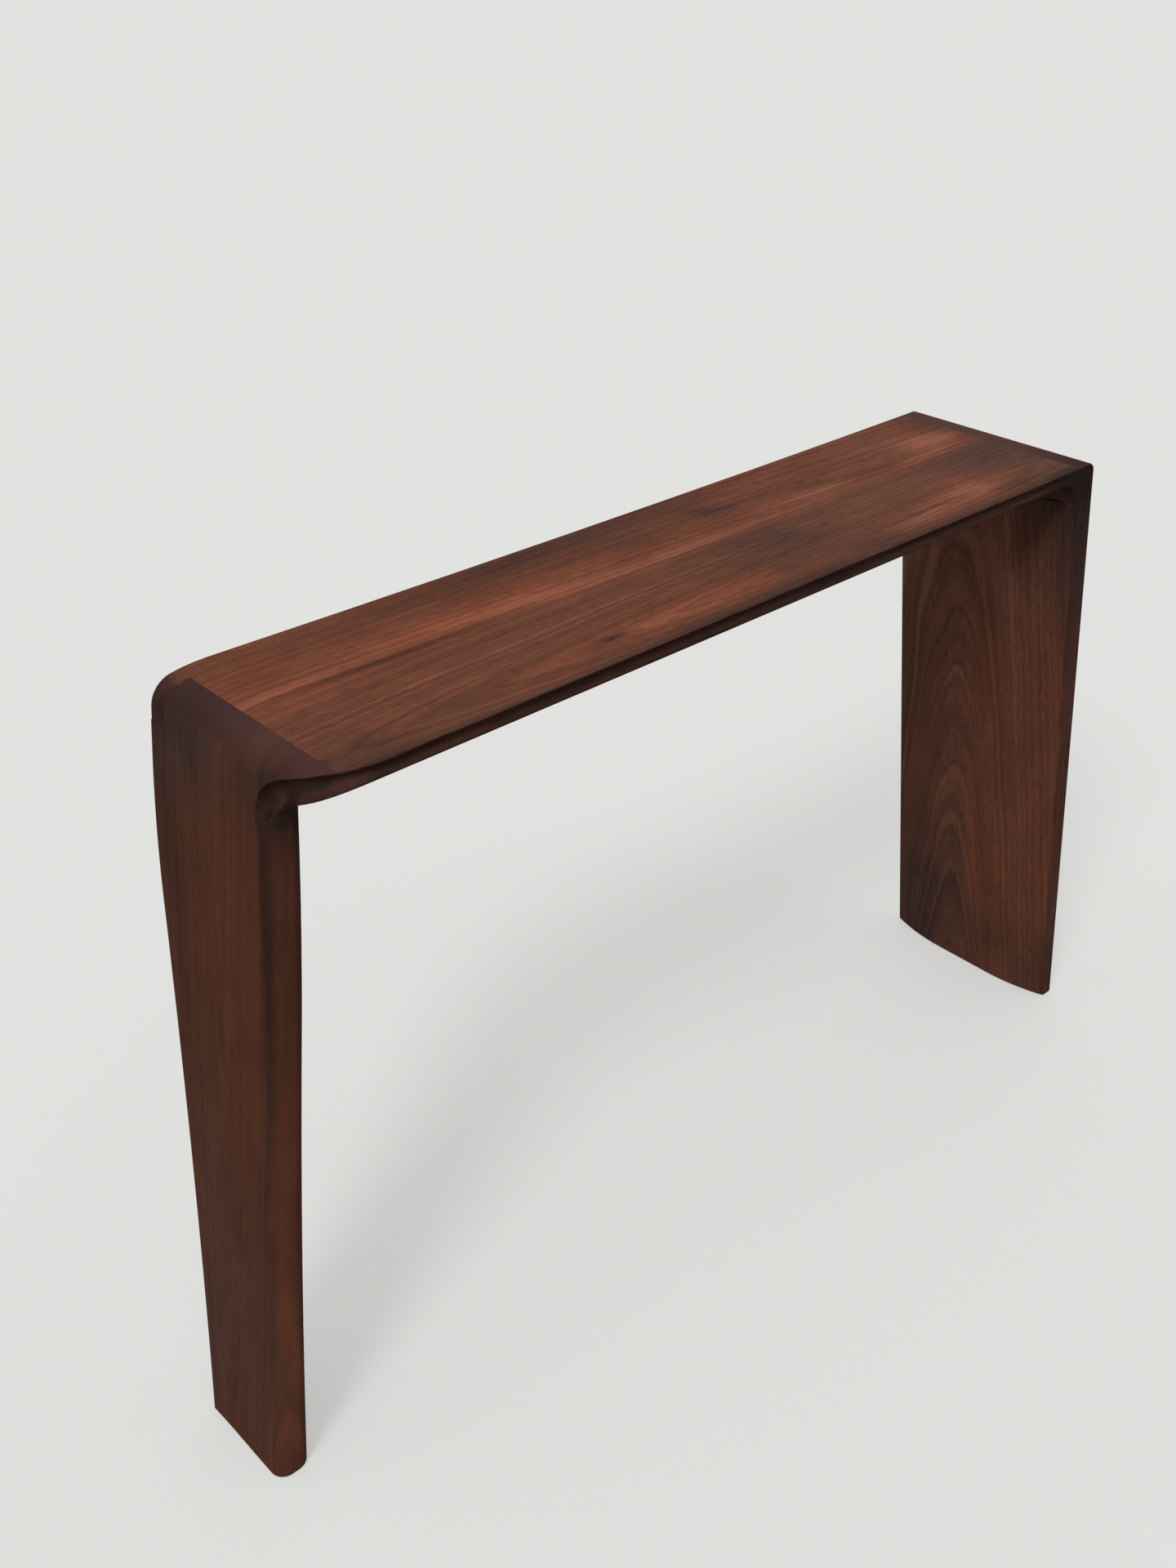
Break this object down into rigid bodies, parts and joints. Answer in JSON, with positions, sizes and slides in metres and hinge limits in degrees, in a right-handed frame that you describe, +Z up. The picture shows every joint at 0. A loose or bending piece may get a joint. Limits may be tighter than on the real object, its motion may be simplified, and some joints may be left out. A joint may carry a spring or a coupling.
{
  "type": "waterfall console table",
  "caption": "Narrow carved walnut console table: a slab top with a coved front edge on splayed slab legs, one full depth and one a narrow tapered blade.",
  "frame": {"origin": "on the floor, at the middle of the table's length and depth", "axes": "+X along the table towards the full depth leg, +Y to the back, away from the coved front edge, +Z up"},
  "size_m": [1.18, 0.248, 0.76],
  "materials": {
    "top_walnut": "oiled black walnut, satin, grain along the table",
    "leg_walnut": "oiled black walnut, satin, grain up the leg",
    "tenon_beech": "raw pressed beech"
  },
  "bodies": {
    "root": {"left_corner_back_tenon_1": "tenon_beech", "left_corner_back_tenon_2": "tenon_beech", "left_corner_front_tenon_1": "tenon_beech", "left_leg_back_board": "leg_walnut", "left_leg_edge_tenon_1": "tenon_beech", "left_leg_edge_tenon_2": "tenon_beech", "left_leg_edge_tenon_3": "tenon_beech", "left_leg_edge_tenon_4": "tenon_beech", "left_leg_front_board": "leg_walnut", "right_corner_back_tenon_1": "tenon_beech", "right_corner_back_tenon_2": "tenon_beech", "right_corner_front_tenon_1": "tenon_beech", "right_corner_front_tenon_2": "tenon_beech", "right_leg_back_board": "leg_walnut", "right_leg_edge_tenon_1": "tenon_beech", "right_leg_edge_tenon_2": "tenon_beech", "right_leg_edge_tenon_3": "tenon_beech", "right_leg_edge_tenon_4": "tenon_beech", "right_leg_front_board": "leg_walnut", "top_back_board": "top_walnut", "top_edge_tenon_1": "tenon_beech", "top_edge_tenon_2": "tenon_beech", "top_edge_tenon_3": "tenon_beech", "top_edge_tenon_4": "tenon_beech", "top_edge_tenon_5": "tenon_beech", "top_front_board": "top_walnut"}
  },
  "joints": []
}
